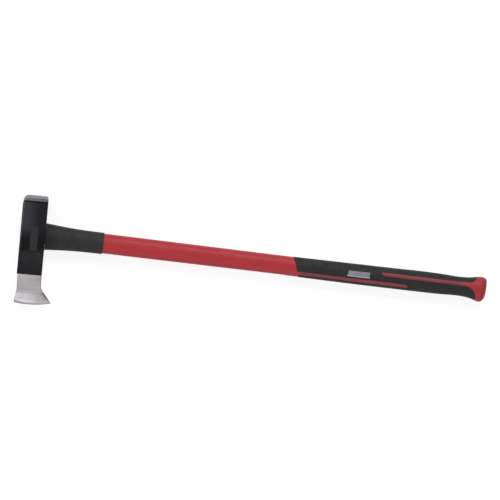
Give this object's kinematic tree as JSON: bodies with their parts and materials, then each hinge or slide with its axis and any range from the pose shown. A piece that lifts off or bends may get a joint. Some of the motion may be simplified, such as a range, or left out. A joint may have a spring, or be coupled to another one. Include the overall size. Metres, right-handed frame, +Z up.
{
  "type": "splitting maul",
  "caption": "Splitting maul with a forged wedge head, square poll and beaked blade, on a fibreglass handle with a rubber overstrike collar and a two-part moulded grip.",
  "frame": {"origin": "on the surface that the maul lies on, under the middle of the eye: the flat of the lower cheek", "axes": "+X along the handle from the eye to the knob, +Y towards the poll with the blade at -Y, +Z up through the upper cheek"},
  "size_m": [0.9016, 0.2084, 0.0582],
  "materials": {
    "head_steel": "semi-gloss black lacquer on forged steel, ground bare at the blade and the poll",
    "epoxy": "cast dark epoxy, slightly glossy",
    "fibreglass": "pultruded glass fibre rod, satin",
    "red_plastic": "moulded polypropylene, satin with a fine spark texture",
    "collar_rubber": "moulded rubber, matte",
    "grip_rubber": "soft thermoplastic rubber, matte with a fine grain",
    "label_foil": "blank dark foil, matte"
  },
  "bodies": {
    "root": {"maul_head": "head_steel", "eye_resin": "epoxy", "fibreglass_core": "fibreglass", "shaft_jacket": "red_plastic", "overstrike_collar": "collar_rubber", "grip_base": "red_plastic", "grip_overmould": "grip_rubber", "cheek_label": "label_foil"}
  },
  "joints": []
}
